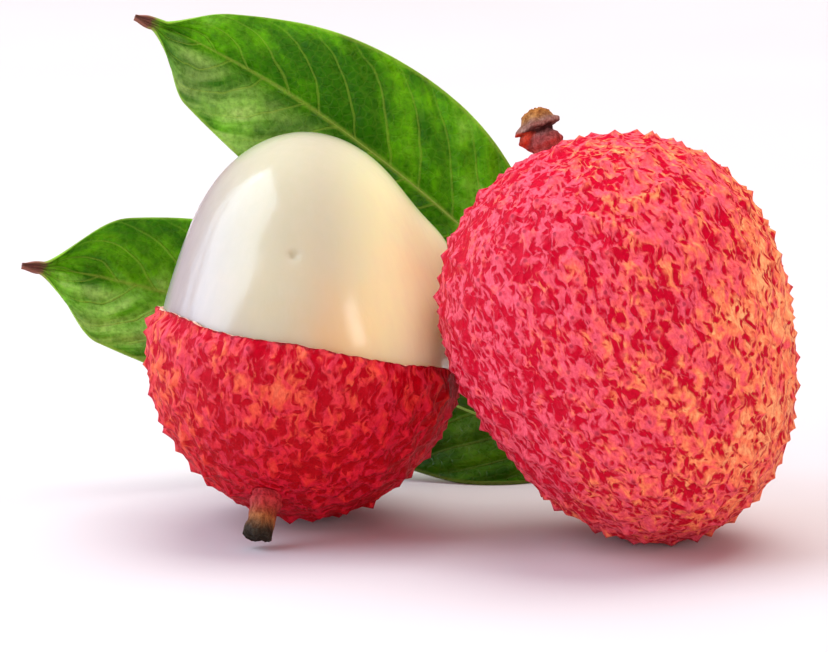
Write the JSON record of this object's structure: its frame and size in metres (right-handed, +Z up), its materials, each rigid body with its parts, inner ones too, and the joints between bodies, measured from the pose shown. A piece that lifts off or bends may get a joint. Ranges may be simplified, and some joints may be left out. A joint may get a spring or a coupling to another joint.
{
  "type": "bunch of lychees",
  "caption": "Bunch of lychees lying on a surface: a whole bumpy fruit, a half-peeled fruit with its flesh out of the rind cup, and folded leaves on a common stalk.",
  "frame": {"origin": "middle of the bunch's box, on the surface it lies on", "axes": "+X along the bunch from the leaf tips to the whole fruit, +Y towards the leaves behind the fruits, +Z up"},
  "size_m": [0.076, 0.0524, 0.0485],
  "materials": {
    "rind": "satin, covered with small pointed bumps",
    "flesh": "wet, smooth and translucent",
    "bark": "rough and dry",
    "leaf": "waxy, with fine veins"
  },
  "bodies": {
    "root": {"whole_fruit": "rind", "whole_stalk": "bark", "peeled_rind": "rind", "peeled_flesh": "flesh", "peeled_stalk": "bark", "leaf_upper": "leaf", "leaf_lower": "leaf", "leaf_stalk": "bark"}
  },
  "joints": []
}
